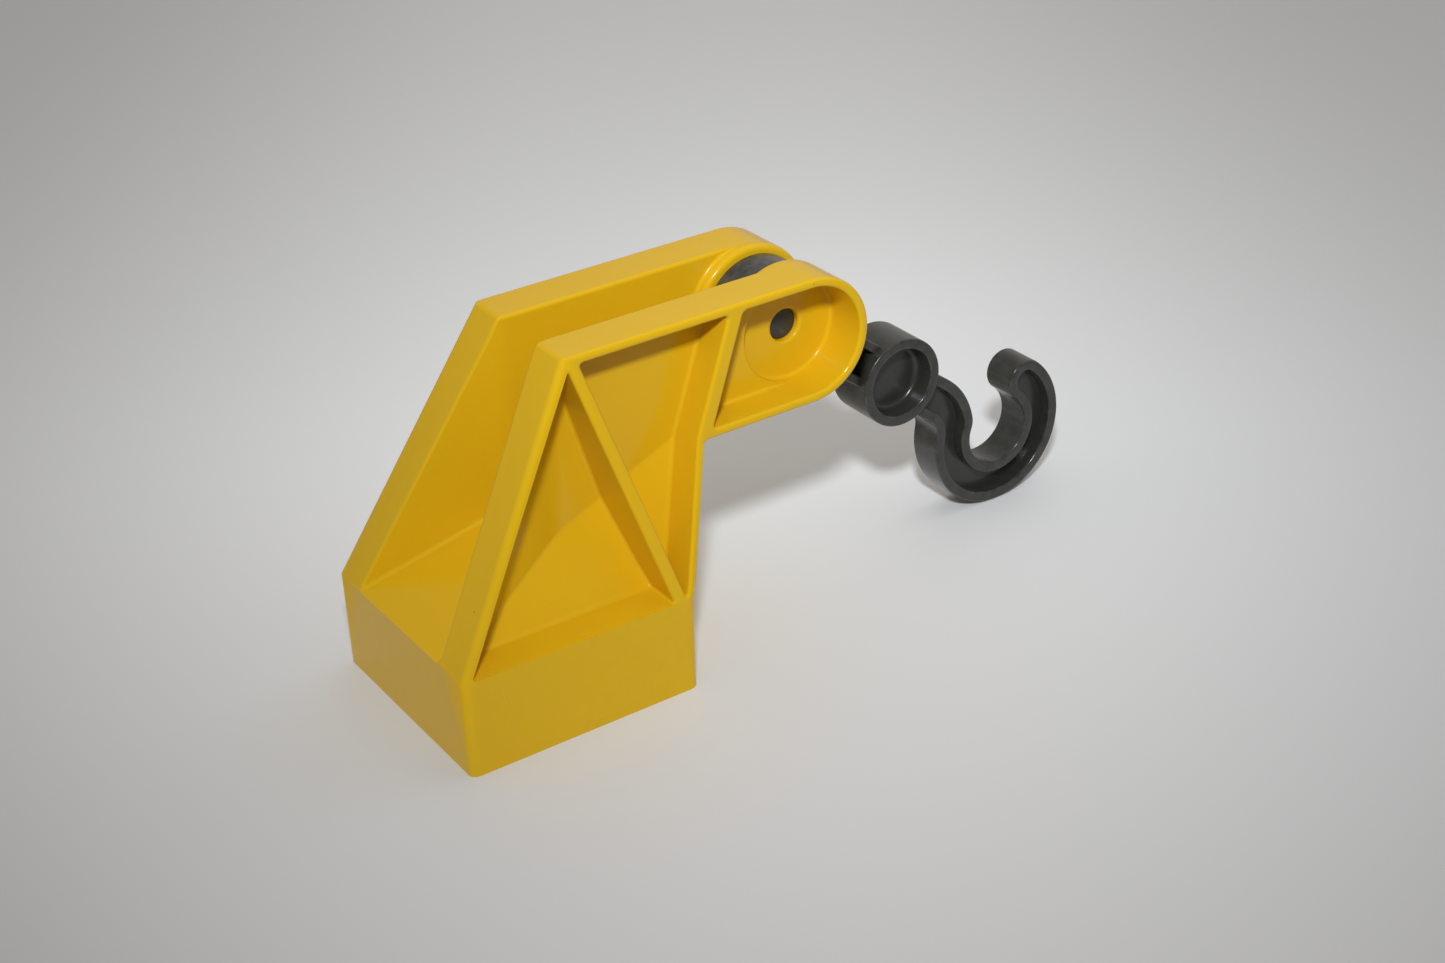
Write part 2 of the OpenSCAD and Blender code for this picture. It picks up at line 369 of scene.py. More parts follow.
def edge_wear_group():
    """Wear along the rounded edges, and the partly painted sheen on the hub drum, broken up by a
    random pattern.
    """
    group, inp, out = new_group(
        "edge_wear",
        {
            "Vector": ("Vector", None),
            "Edge": ("Float", 0.0),
            "Break Scale": ("Float", 500.0),
        },
        {"Mask": ("Float", None)},
    )
    where = inp.outputs["Vector"]
    broken = noise(group, where, inp.outputs["Break Scale"], detail=4.0, roughness=0.65)
    kept = ramp(group, broken, *WEAR_RANGE)
    group.links.new(math_node(group, "MULTIPLY", kept, inp.outputs["Edge"]), out.inputs["Mask"])
    return group


SKIN = moulded_skin_group()
SPECKS = specks_group()
SCUFFS = scuffs_group()
EDGE_WEAR_AND_SHEEN = edge_wear_group()


def mixed(tree, base, over, mask, amount=1.0):
    """Base colour with another colour over it, by a mask."""
    node = tree.nodes.new("ShaderNodeMix")
    node.data_type = "RGBA"
    for socket, value in ((node.inputs[MIX_BASE], base), (node.inputs[MIX_OVER], over)):
        if isinstance(value, tuple):
            socket.default_value = (*value, 1.0)
        else:
            tree.links.new(value, socket)
    tree.links.new(math_node(tree, "MULTIPLY", mask, amount), node.inputs[MIX_FACTOR])
    return node.outputs[MIX_RESULT]


def plastic(name, look):
    """A moulded plastic with its own colours, gloss, dust, scuffs and worn edges."""
    material = bpy.data.materials.new(name)
    material.use_nodes = True
    tree = material.node_tree
    shader = tree.nodes["Principled BSDF"]
    where = tree.nodes.new("ShaderNodeTexCoord").outputs["Object"]

    def use(group, **values):
        """A node of a shared group at the object's coordinates."""
        node = tree.nodes.new("ShaderNodeGroup")
        node.node_tree = group
        tree.links.new(where, node.inputs["Vector"])
        for key, value in values.items():
            node.inputs[key.replace("_", " ")].default_value = value
        return node

    skin = use(SKIN, Grain_Scale=look["grain"], Sink_Scale=look["sink"])
    dark = use(SPECKS, Cell_Scale=look["dark_cells"], Share=look["dark_share"], Size=DARK_SIZE)
    pale = use(SPECKS, Cell_Scale=look["pale_cells"], Share=look["pale_share"], Size=PALE_SIZE)
    scuff = use(SCUFFS, Scale=look["scuff_scale"], Width=SCUFF_WIDTH, Worn=look["worn"])
    wear_and_sheen = use(EDGE_WEAR_AND_SHEEN, Break_Scale=WEAR_SCALE)
    edge = tree.nodes.new("ShaderNodeAttribute")
    edge.attribute_name = "edge_round"
    tree.links.new(edge.outputs["Fac"], wear_and_sheen.inputs["Edge"])

    colour = mixed(tree, look["colour"], look["tone_colour"], skin.outputs["Tone"], look["tone"])
    # The worn-edge colour also paints sheen all round the hub drum, partly as rubbing
    colour = mixed(tree, colour, look["edge_colour"], wear_and_sheen.outputs["Mask"], look["edge"])
    colour = mixed(tree, colour, look["scuff_colour"], scuff.outputs["Mask"], look["scuff"])
    colour = mixed(tree, colour, look["dark_speck"], dark.outputs["Mask"], DARK_STRENGTH)
    colour = mixed(tree, colour, look["pale_speck"], pale.outputs["Mask"], PALE_STRENGTH)
    tree.links.new(colour, shader.inputs["Base Color"])

    rough = math_node(tree, "MULTIPLY_ADD", skin.outputs["Tone"], TONE_ROUGH, look["roughness"])
    rough = math_node(tree, "MULTIPLY_ADD", scuff.outputs["Mask"], SCUFF_ROUGH, rough)
    rough = math_node(tree, "MULTIPLY_ADD", dark.outputs["Mask"], DUST_ROUGH, rough)
    rough = math_node(tree, "MULTIPLY_ADD", wear_and_sheen.outputs["Mask"], WEAR_ROUGH, rough)
    tree.links.new(rough, shader.inputs["Roughness"])

    dent = math_node(
        tree, "MULTIPLY_ADD", scuff.outputs["Mask"], SCUFF_HEIGHT, skin.outputs["Height"]
    )
    bump = tree.nodes.new("ShaderNodeBump")
    bump.inputs["Strength"].default_value = look["bump"]
    bump.inputs["Distance"].default_value = BUMP_DISTANCE
    tree.links.new(dent, bump.inputs["Height"])
    tree.links.new(bump.outputs["Normal"], shader.inputs["Normal"])
    shader.inputs["IOR"].default_value = PLASTIC_IOR
    shader.inputs["Specular IOR Level"].default_value = look["specular"]
    return material


YELLOW = plastic("yellow_moulding", {
    "colour": (0.75, 0.456, 0.009), "tone_colour": (0.73, 0.438, 0.008), "tone": 0.5,
    "edge_colour": (0.77, 0.485, 0.005), "edge": 0.35,
    "scuff_colour": (0.77, 0.50, 0.03), "scuff": 0.12,
    "dark_speck": (0.10, 0.06, 0.02), "pale_speck": (0.80, 0.66, 0.35),
    "dark_cells": 420.0, "dark_share": 0.05, "pale_cells": 520.0, "pale_share": 0.03,
    "grain": 5200.0, "sink": 90.0, "scuff_scale": 170.0, "worn": 0.42,
    "roughness": 0.14, "specular": 0.22, "bump": 0.12,
})
# The grey's lighter edge colour also lies all round the hub drum, partly as rubbing and partly as
# painted sheen
GREY = plastic("grey_moulding", {
    "colour": (0.029, 0.030, 0.025), "tone_colour": (0.036, 0.036, 0.031), "tone": 0.6,
    "edge_colour": (0.085, 0.085, 0.078), "edge": 0.6,
    "scuff_colour": (0.10, 0.10, 0.09), "scuff": 0.12,
    "dark_speck": (0.012, 0.012, 0.011), "pale_speck": (0.22, 0.21, 0.19),
    "dark_cells": 600.0, "dark_share": 0.05, "pale_cells": 700.0, "pale_share": 0.06,
    "grain": 4200.0, "sink": 110.0, "scuff_scale": 190.0, "worn": 0.42,
    "roughness": 0.2, "specular": 0.45, "bump": 0.2,
})


# Pieces


def arc(centre, radius, start, end, step=ARC_STEP):
    """Points along an arc, angles in degrees."""
    count = max(2, math.ceil(abs(end - start) / step))
    angles = [math.radians(start + (end - start) * i / count) for i in range(count + 1)]
    return [centre + radius * Vector((math.cos(a), math.sin(a))) for a in angles]


def rounded(points, radii):
    """A closed outline of points, each corner rounded by its own radius or all by one."""
    made = []
    count = len(points)
    if isinstance(radii, float):
        radii = [radii] * count
    for i, (corner, radius) in enumerate(zip(points, radii)):
        before = points[i - 1] - corner
        after = points[(i + 1) % count] - corner
        turn = before.angle(after)
        if radius == 0.0 or corner.x < ON_AXIS or turn > math.radians(STRAIGHT):
            made.append(corner)
            continue
        shares = [0.5 if radii[(i + k) % count] else 1.0 for k in (-1, 1)]
        room = min(before.length * shares[0], after.length * shares[1])
        reach = min(radius / math.tan(turn / 2), room)
        start = corner + before.normalized() * reach
        end = corner + after.normalized() * reach
        for k in range(ROUND_STEPS + 1):
            t = k / ROUND_STEPS
            made.append(start.lerp(corner, t).lerp(corner.lerp(end, t), t))
    return made


def turned(points, name, sides=TURNED_SIDES):
    """A solid of revolution about Z from a closed outline of (radius, height) points."""
    work = bmesh.new()
    angles = [2 * math.pi * i / sides for i in range(sides)]
    rings = []
    for point in points:
        height = point.y * MM
        if point.x < ON_AXIS:
            rings.append([work.verts.new((0.0, 0.0, height))])
            continue
        rings.append([
            work.verts.new((point.x * math.cos(a) * MM, point.x * math.sin(a) * MM, height))
            for a in angles
        ])
    for low, high in zip(rings, rings[1:] + rings[:1]):
        if len(low) == 1 and len(high) == 1:
            continue
        for i in range(sides):
            j = (i + 1) % sides
            corners = [low[i % len(low)], low[j % len(low)]]
            corners += [high[j % len(high)], high[i % len(high)]]
            unique = [c for k, c in enumerate(corners) if c not in corners[:k]]
            work.faces.new(unique)
    bmesh.ops.recalc_face_normals(work, faces=work.faces)
    mesh = bpy.data.meshes.new(name)
    work.to_mesh(mesh)
    work.free()
    return link(mesh, name)


def core(radius, half, at, name):
    """A plain cylinder that clears the way for a turned piece before they are joined."""
    points = [Vector(p) for p in ((0.0, half), (radius, half), (radius, -half), (0.0, -half))]
    obj = turned(points, name)
    obj.data.transform(Matrix.Translation((at * MM, 0.0, 0.0)))
    return obj


def combine(obj, other, operation):
    """Adds or cuts another closed mesh, which is then removed."""
    step = obj.modifiers.new(operation.lower(), "BOOLEAN")
    step.operation = operation
    step.solver = "MANIFOLD"
    step.object = other
    obj = settle(obj, obj.name)
    bpy.data.objects.remove(other)
    return obj


def onto_pin(obj):
    """Turns a piece made about Z onto the pin, and returns it."""
    place = Matrix.Rotation(math.radians(90.0), 4, "X")
    place.translation = PIVOT
    obj.data.transform(place)
    return obj


def join_faces(work):
    """Joins loose triangles, and the triangles of each flat face."""
    bmesh.ops.remove_doubles(work, verts=work.verts, dist=WELD)
    bmesh.ops.dissolve_degenerate(work, edges=work.edges, dist=WELD)
    bmesh.ops.dissolve_limit(
        work, angle_limit=math.radians(FLAT_TURN), verts=work.verts, edges=work.edges
    )


def merged_copy(node, name):
    """A copy of a CAD node's mesh with its loose triangles joined into whole faces."""
    work = bmesh.new()
    work.from_mesh(frame["nodes"][node].data)
    join_faces(work)
    mesh = bpy.data.meshes.new(name)
    work.to_mesh(mesh)
    work.free()
    return link(mesh, name)


def hollow_faces(work):
    """The faces of the hidden hollow under the base, found by spreading from its roof."""
    roof = HOLLOW_ROOF * MM
    start = min(work.faces, key=lambda f: (f.calc_center_median() - roof).length)
    found, waiting = {start}, [start]
    while waiting:
        for edge in waiting.pop().edges:
            if max(v.co.z for v in edge.verts) < LEVEL:
                continue
            for face in edge.link_faces:
                if face not in found:
                    found.add(face)
                    waiting.append(face)
    return found


def round_gap(x, radius):
    """How far a round about the pivot lies inside the straight edge that touches it."""
    before = min(radius, max(0.0, PIVOT.x / MM - x))
    return radius - math.sqrt(radius ** 2 - before ** 2)


def meets_round(vert, side, radius):
    """Whether a point is where a straight edge at this side touches a round about the pivot."""
    at = (vert.co - PIVOT) / MM
    off = (abs(at.x), abs(abs(at.y) - side), abs(abs(at.z) - radius))
    return max(off) < AT_POINT


def split_fading_edges(work):
    """Adds points along the straight edges whose rounding fades out at the tip's rounds."""
    for edge in list(work.edges):
        ends = sorted(edge.verts, key=lambda v: v.co.x)
        off = ends[1].co - ends[0].co
        level = abs(off.y) + abs(off.z) < LEVEL
        if not (level and any(meets_round(ends[1], *place) for place in FADE_PLACES)):
            continue
        for _ in range(FADE_STEPS):
            share = FADE_STEP * MM / edge.calc_length()
            ends[1] = bmesh.utils.edge_split(edge, ends[1], share)[1]


def edge_round(edge, hollow):
    """Rounding of one edge of the frame, in millimetres: none in the hollow, at the foot and in the
    room of the boss, and less where a straight edge runs into a round of the tip.
    """
    turn = math.degrees(edge.calc_face_angle(0.0))
    ends = [v.co / MM for v in edge.verts]
    side = [abs(p.y) for p in ends]
    from_pivot = [math.hypot(p.x - PIVOT.x / MM, p.z - PIVOT.z / MM) for p in ends]
    if turn < SOFT_CREASE or all(f in hollow for f in edge.link_faces):
        return 0.0
    if max(p.z for p in ends) < AT_POINT:
        return 0.0
    if max(from_pivot) < BOSS_CUT_R + NEAR_BY and max(side) < BOSS_CUT_HALF + NEAR_BY:
        return 0.0
    if min(min(abs(p.x), abs(p.y)) for p in ends) > BASE_HALF - NEAR_BY:
        return CORNER_ROUND
    if turn < HARD_CREASE:
        on_skirt = max(side) < POCKET_DEEPEST and turn > SKIRT_FOLD
        return CREASE_ROUND if on_skirt else 0.0
    off_recess = max(abs(r - RECESS_R) for r in from_pivot)
    if off_recess < NEAR_BY and max(side) < RECESS_EDGE:
        size = RECESS_ROUND
    else:
        size = FRAME_ROUND if edge.is_convex else FRAME_FILLET
    last_x = max(p.x for p in ends)
    fading = last_x > PIVOT.x / MM - FADE_STEP * FADE_STEPS
    for place, radius in FADE_PLACES:
        if fading and max(abs(y - place) for y in side) < AT_POINT:
            size *= min(1.0, round_gap(last_x, radius))
    return size


def stands_at(edge, at):
    """Whether an edge stands upright at this place."""
    off = [v.co.xy - at for v in edge.verts]
    return max(max(abs(o.x), abs(o.y)) for o in off) < AT_FOLD * MM


def soften_bend(work):
    """Turns the crease where the side plates splay out into a soft bend."""
    for inner in (PLATE_INNER, PLATE_OUTER):
        for side in (-1.0, 1.0):
            at = Vector((BEND_X, side * inner)) * MM
            crease = [e for e in work.edges if stands_at(e, at)]
            faces = {f for e in crease for f in e.link_faces}
            ends = {v for e in crease for v in e.verts}
            for step in (-BEND_HALF, BEND_HALF):
                parts = set(faces)
                for face in faces:
                    parts.update(face.edges)
                    parts.update(face.verts)
                cut = bmesh.ops.bisect_plane(
                    work, geom=list(parts), dist=ON_BEND,
                    plane_co=((BEND_X + step) * MM, 0.0, 0.0), plane_no=(1.0, 0.0, 0.0),
                )
                faces = {g for g in cut["geom"] if isinstance(g, bmesh.types.BMFace)}
            for end in ends:
                end.co.y += side * BEND_HALF * SPLAY / 2 * MM


def join_brace_face(work):
    """Makes the face of each brace one face, without the fold that runs along its rim."""
    for side in (-1.0, 1.0):
        ends = [Vector((x, side * y, z)) * MM for x, y, z in BRACE_FOLD]
        fold = [
            e for e in work.edges
            if all(min((v.co - end).length for end in ends) < AT_FOLD * MM for v in e.verts)
        ]
        bmesh.ops.dissolve_edges(work, edges=fold)


def gather_corners(work, hollow):
    """Draws the ends of very short edges into the pocket corner beside them."""
    hidden = {v for f in hollow for v in f.verts}
    for corner in POCKET_CORNERS:
        for side in (-1.0, 1.0):
            at = Vector((corner[0], side * corner[1], corner[2])) * MM
            near = [v for v in work.verts if (v.co - at).length < GATHER * MM and v not in hidden]
            bmesh.ops.pointmerge(work, verts=near, merge_co=at)


def boss():
    """The near pivot boss: a disc with a rounded lip, a flared foot, a recess floor and a hole."""
    flare_at = Vector((BOSS_R + BOSS_FILLET, PLATE_INNER - BOSS_FILLET))
    flare = arc(flare_at, BOSS_FILLET, 180.0, BOSS_FILLET_END, BOSS_FILLET_STEP)
    run_out = (flare[-1] - flare[-2]).normalized()
    flare.append(flare[-1] + run_out * ((PLATE_INNER + BOSS_SINK - flare[-1].y) / run_out.y))
    outline = [Vector((PIN_R, BOSS_FACE)), Vector((BOSS_R, BOSS_FACE)), *flare]
    radii = [BORE_ROUND, BOSS_ROUND] + [0.0] * len(flare)
    for radius, height, corner_round in (
        (BOSS_R, BOSS_TOP, 0.0),
        (BOSS_INNER_R, BOSS_TOP, 0.0),
        (BOSS_INNER_R, RECESS_FLOOR, FRAME_FILLET),
        (PIN_R, RECESS_FLOOR, HOLE_ROUND),
    ):
        outline.append(Vector((radius, height)))
        radii.append(corner_round)
    obj = turned(rounded(outline, radii), "boss")
    for vert in obj.data.vertices:
        radius = math.hypot(vert.co.x, vert.co.y)
        if radius > (BOSS_R + PAST_RIM) * MM:
            gap = round_gap(PIVOT.x / MM + vert.co.x / radius * TIP_R, TIP_R)
            kept = BOSS_R * MM + (radius - BOSS_R * MM) * min(1.0, gap)
            vert.co.x *= kept / radius
            vert.co.y *= kept / radius
    return onto_pin(obj)


def needs_splitting(face):
    """Whether a face crosses the middle plane, or has many corners and isn't flat."""
    across = [v.co.y for v in face.verts]
    if min(across) < 0.0 < max(across):
        return True
    middle = face.calc_center_median()
    warp = max(abs(face.normal.dot(v.co - middle)) for v in face.verts)
    return len(face.verts) > 4 and warp > WARP_LIMIT * MM


def mirror_near_half(mesh):
    """Cuts a mesh at its middle plane and mirrors the near half, so that both sides are alike."""
    work = bmesh.new()
    work.from_mesh(mesh)
    bmesh.ops.triangulate(work, faces=[f for f in work.faces if needs_splitting(f)])
    whole = [*work.verts, *work.edges, *work.faces]
    bmesh.ops.bisect_plane(
        work, geom=whole, dist=ON_MIDDLE,
        plane_co=(0.0, 0.0, 0.0), plane_no=(0.0, 1.0, 0.0), clear_outer=True,
    )
    half = [*work.verts, *work.edges, *work.faces]
    bmesh.ops.mirror(work, geom=half, axis="Y", merge_dist=WELD)
    bmesh.ops.recalc_face_normals(work, faces=work.faces)
    work.to_mesh(mesh)
    work.free()


def moulded_frame():
    """The yellow frame: the CAD shape with the rounded edges of a moulding."""
    obj = merged_copy("jib_frame", "frame_blank")
    plug = core(PIN_R + BLANK_MARGIN, PLUG_HALF, 0.0, "boss_plug")
    obj = combine(obj, onto_pin(plug), "UNION")
    blank = core(BOSS_R + BLANK_MARGIN, PLATE_INNER - BLANK_GAP, 0.0, "boss_blank")
    obj = combine(obj, onto_pin(blank), "DIFFERENCE")
    work = bmesh.new()
    work.from_mesh(obj.data)
    join_faces(work)
    soften_bend(work)
    join_brace_face(work)
    split_fading_edges(work)
    gather_corners(work, hollow_faces(work))
    hollow = hollow_faces(work)
    weight = work.edges.layers.float.new("bevel_weight_edge")
    for edge in work.edges:
        edge[weight] = edge_round(edge, hollow)
    work.to_mesh(obj.data)
    work.free()
    bevel = obj.modifiers.new("moulded_edges", "BEVEL")
    bevel.width = MM
    bevel.segments = ROUND_STEPS
    bevel.limit_method = "WEIGHT"
    bevel.use_clamp_overlap = False
    bevel.miter_outer = "MITER_ARC"
    obj = settle(obj, "moulded_frame")
    room = core(BOSS_CUT_R, BOSS_CUT_HALF, 0.0, "boss_room")
    obj = combine(obj, onto_pin(room), "DIFFERENCE")
    obj = combine(obj, boss(), "UNION")
    mirror_near_half(obj.data)
    return obj


def angle_of(vector):
    """The direction of a flat vector, in degrees."""
    return math.degrees(math.atan2(vector.y, vector.x))


def arm_path(inset):
    """The closed outline of bar, shank and hook, drawn in from the edge by inset."""
    bowl = Vector((HOOK_REACH, 0.0))
    hook_r = BOWL_R + BAND_W
    toward = math.radians(THROAT_ANGLE)
    throat = bowl + (BOWL_R + THROAT_R) * Vector((math.cos(toward), math.sin(toward)))
    shank_v = BAR_H / 2 - SHANK_R
    run = math.sqrt((SHANK_R - THROAT_R) ** 2 - (throat.y - shank_v) ** 2)
    shank = Vector((throat.x - run, shank_v))
    heel_v = -BAR_H / 2 - HEEL_R
    heel = Vector((bowl.x - math.sqrt((hook_r + HEEL_R) ** 2 - heel_v ** 2), heel_v))
    tip_turn = math.radians(TIP_ANGLE)
    tip = bowl + (BOWL_R + BAND_W / 2) * Vector((math.cos(tip_turn), math.sin(tip_turn)))
    heel_end = angle_of(bowl - heel)
    throat_start = angle_of(bowl - throat)
    shank_start = angle_of(throat - shank)
    path = [Vector((0.0, -BAR_H / 2 + inset))]
    path += arc(heel, HEEL_R + inset, 90.0, heel_end)
    path += arc(bowl, hook_r - inset, 180.0 + heel_end, 360.0 + TIP_ANGLE)
    path += arc(tip, BAND_W / 2 - inset, TIP_ANGLE, TIP_ANGLE + 180.0)
    path += arc(bowl, BOWL_R + inset, TIP_ANGLE, angle_of(throat - bowl) % 360.0 - 360.0)
    path += arc(throat, THROAT_R - inset, throat_start, shank_start)
    path += arc(shank, SHANK_R - inset, shank_start, 90.0)
    path.append(Vector((0.0, BAR_H / 2 - inset)))
    kept = [path[0]]
    for point in path[1:]:
        if (point - kept[-1]).length > AT_POINT:
            kept.append(point)
    return kept


def closed_curve(points, name):
    """A closed flat curve through points in millimetres."""
    curve = bpy.data.curves.new(name, "CURVE")
    curve.dimensions = "3D"
    spline = curve.splines.new("POLY")
    spline.points.add(len(points) - 1)
    for made, point in zip(spline.points, points):
        made.co = (point.x * MM, point.y * MM, 0.0, 1.0)
    spline.use_cyclic_u = True
    return link(curve, name)


def channel_tree():
    """Geometry Nodes: a raised edge swept along an outline, with a web filling it."""
    tree = bpy.data.node_groups.new("raised_edge_channel", "GeometryNodeTree")
    tree.is_modifier = True
    face = tree.interface
    face.new_socket("Geometry", in_out="INPUT", socket_type="NodeSocketGeometry")
    for name in ("Edge Width", "Thickness", "Web Thickness", "Edge Round"):
        face.new_socket(name, in_out="INPUT", socket_type="NodeSocketFloat")
    face.new_socket("Round Steps", in_out="INPUT", socket_type="NodeSocketInt")
    face.new_socket("Material", in_out="INPUT", socket_type="NodeSocketMaterial")
    face.new_socket("Geometry", in_out="OUTPUT", socket_type="NodeSocketGeometry")
    made = tree.nodes.new
    join = tree.links.new
    inp, out = made("NodeGroupInput"), made("NodeGroupOutput")

    upright = made("GeometryNodeSetCurveNormal")
    upright.mode = "Z_UP"
    join(inp.outputs["Geometry"], upright.inputs["Curve"])

    section = made("GeometryNodeCurvePrimitiveQuadrilateral")
    join(inp.outputs["Edge Width"], section.inputs["Width"])
    join(inp.outputs["Thickness"], section.inputs["Height"])
    fillet = made("GeometryNodeFilletCurve")
    fillet.mode = "POLY"
    join(section.outputs["Curve"], fillet.inputs["Curve"])
    join(inp.outputs["Round Steps"], fillet.inputs["Count"])
    join(inp.outputs["Edge Round"], fillet.inputs["Radius"])
    sweep = made("GeometryNodeCurveToMesh")
    join(upright.outputs["Curve"], sweep.inputs["Curve"])
    join(fillet.outputs["Curve"], sweep.inputs["Profile Curve"])

    fill = made("GeometryNodeFillCurve")
    fill.mode = "NGONS"
    join(inp.outputs["Geometry"], fill.inputs["Curve"])
    half = made("ShaderNodeMath")
    half.operation = "MULTIPLY"
    half.inputs[1].default_value = -0.5
    join(inp.outputs["Web Thickness"], half.inputs[0])
    drop = made("ShaderNodeCombineXYZ")
    join(half.outputs[0], drop.inputs["Z"])
    lower = made("GeometryNodeTransform")
    join(fill.outputs["Mesh"], lower.inputs["Geometry"])
    join(drop.outputs["Vector"], lower.inputs["Translation"])
    raise_web = made("GeometryNodeExtrudeMesh")
    raise_web.mode = "FACES"
    raise_web.inputs["Individual"].default_value = False
    up = made("ShaderNodeCombineXYZ")
    up.inputs["Z"].default_value = 1.0
    join(up.outputs["Vector"], raise_web.inputs["Offset"])
    join(lower.outputs["Geometry"], raise_web.inputs["Mesh"])
    join(inp.outputs["Web Thickness"], raise_web.inputs["Offset Scale"])
    under = made("GeometryNodeFlipFaces")
    join(lower.outputs["Geometry"], under.inputs["Mesh"])
    web = made("GeometryNodeJoinGeometry")
    join(raise_web.outputs["Mesh"], web.inputs["Geometry"])
    join(under.outputs["Mesh"], web.inputs["Geometry"])
    weld = made("GeometryNodeMergeByDistance")
    weld.inputs["Distance"].default_value = WELD
    join(web.outputs["Geometry"], weld.inputs["Geometry"])

    union = made("GeometryNodeMeshBoolean")
    union.operation = "UNION"
    union.solver = "MANIFOLD"
    join(sweep.outputs["Mesh"], union.inputs["Mesh 2"])
    join(weld.outputs["Geometry"], union.inputs["Mesh 2"])
    real = made("GeometryNodeRealizeInstances")
    join(union.outputs["Mesh"], real.inputs["Geometry"])
    paint = made("GeometryNodeSetMaterial")
    join(real.outputs["Geometry"], paint.inputs["Geometry"])
    join(inp.outputs["Material"], paint.inputs["Material"])
    join(paint.outputs["Geometry"], out.inputs["Geometry"])
    return tree


def set_inputs(modifier, values):
    """Sets a Geometry Nodes modifier's inputs by the identifiers of their sockets."""
    for item in modifier.node_group.interface.items_tree:
        if item.item_type == "SOCKET" and item.in_out == "INPUT" and item.name in values:
            modifier[item.identifier] = values[item.name]


def mirrored_outline(half):
    """An outline given for the upper half, closed with its mirror image below."""
    return half + [Vector((p.x, -p.y)) for p in reversed(half)]


def hub_drum():
    """The drum round the pin: a rim, a sunk ring and the sleeve that turns on the pin."""
    web = ARM_WEB_T / 2
    bore = PIN_R + PIN_PLAY
    outline = mirrored_outline([Vector(p) for p in (
        (bore, HUB_FACE), (SLEEVE_R, HUB_FACE), (SLEEVE_R, web),
        (HUB_R - EDGE_W, web), (HUB_R - EDGE_W, HUB_FACE), (HUB_R, HUB_FACE),
    )])
    return turned(rounded(outline, SMALL_ROUND), "hub_drum")


def barrel():
    """The barrel: a short tube with a web across its middle."""
    web = ARM_WEB_T / 2
    inner = BARREL_R - BARREL_WALL
    outline = mirrored_outline([Vector(p) for p in (
        (0.0, web), (inner, web), (inner, BARREL_HALF), (BARREL_R, BARREL_HALF),
    )])
    radii = [0.0, BARREL_FILLET, SMALL_ROUND, ARM_ROUND]
    obj = turned(rounded(outline, radii + radii[::-1]), "barrel")
    obj.data.transform(Matrix.Translation((LINK_LEN * MM, 0.0, 0.0)))
    return obj


def hook_arm():
    """The grey arm: channelled bar, shank and hook, with the hub drum and the barrel."""
    obj = closed_curve(arm_path(EDGE_W / 2), "arm_outline")
    channel = obj.modifiers.new("channel", "NODES")
    channel.node_group = channel_tree()
    set_inputs(channel, {
        "Edge Width": EDGE_W * MM, "Thickness": ARM_T * MM, "Web Thickness": ARM_WEB_T * MM,
        "Edge Round": ARM_ROUND * MM, "Round Steps": ROUND_STEPS, "Material": GREY,
    })
    obj = settle(obj, "hook_arm_moulding")
    obj = combine(obj, core(HUB_R - EDGE_W / 2, ARM_T, 0.0, "hub_core"), "DIFFERENCE")
    obj = combine(obj, core(BARREL_R - EDGE_W / 2, ARM_T, LINK_LEN, "barrel_core"), "DIFFERENCE")
    obj = combine(obj, hub_drum(), "UNION")
    obj = combine(obj, barrel(), "UNION")
    hook_r = BOWL_R + BAND_W
    rest = math.asin((hook_r + FLOOR_GAP - PIVOT.z / MM) / HOOK_REACH)
    along = Vector((math.cos(rest), 0.0, math.sin(rest)))
    across = Vector((-math.sin(rest), 0.0, math.cos(rest)))
    aside = along.cross(across)
    place = Matrix((along, across, aside)).transposed().to_4x4()
    place.translation = PIVOT
    obj.data.transform(place)
    return obj


def pivot_pin():
    """The pin pressed through both side plates, with rounded ends."""
    outline = mirrored_outline([Vector(p) for p in ((0.0, PIN_HALF), (PIN_R, PIN_HALF))])
    return onto_pin(turned(rounded(outline, SMALL_ROUND), "pivot_pin", PIN_SIDES))


def mark_round_edges(mesh):
    """Stores how worn each point is: where the surface turns outwards, and on the hub drum, whose
    lighter colour is partly rubbed and partly painted sheen.
    """
    work = bmesh.new()
    work.from_mesh(mesh)
    layer = work.verts.layers.float.new("edge_round")
    for vert in work.verts:
        turn = 0.0
        for edge in vert.link_edges:
            if edge.is_manifold and edge.is_convex:
                turn = max(turn, edge.calc_face_angle(0.0))
        wear_and_sheen = turn / math.radians(WORN_TURN)
        from_pin = math.hypot(vert.co.x - PIVOT.x, vert.co.z - PIVOT.z) / MM
        on_drum = HUB_R - SMALL_ROUND < from_pin < HUB_R + NEAR_BY
        # Painted sheen: the hub drum takes the lighter worn colour all round, partly as rubbing
        if on_drum and abs(vert.co.y) < HUB_FACE * MM:
            wear_and_sheen = max(wear_and_sheen, DRUM_RUBBED_AND_SHEEN)
        vert[layer] = min(1.0, wear_and_sheen)
    work.to_mesh(mesh)
    work.free()


def finish_piece(obj, body, node, material):
    """Material and body of a finished piece that stands for a CAD node, which is then hidden."""
    obj.data.materials.clear()
    obj.data.materials.append(material)
    for face in obj.data.polygons:
        face.material_index = 0
    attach(obj, body)
    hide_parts(node)


def is_hard(edge):
    """Whether an edge is shaded sharp, with less turn for a long one or where a rounding fades."""
    limit = CREASE_TURN if edge.calc_length() > LONG_CREASE * MM else SHARP_TURN
    if any(meets_round(v, *place) for v in edge.verts for place in FADE_PLACES):
        limit = FADE_CREASE
    return edge.is_manifold and edge.calc_face_angle(0.0) > math.radians(limit)


def smooth(obj):
    """Shades a piece smooth, with face-weighted normals, and sharp at hard corners."""
    for face in obj.data.polygons:
        face.use_smooth = True
    work = bmesh.new()
    work.from_mesh(obj.data)
    for edge in work.edges:
        edge.smooth = not is_hard(edge)
    work.to_mesh(obj.data)
    work.free()
    weight = obj.modifiers.new("flat_faces_lead", "WEIGHTED_NORMAL")
    weight.keep_sharp = True
    weight.weight = FLAT_LEAD
    return settle(obj, obj.name)


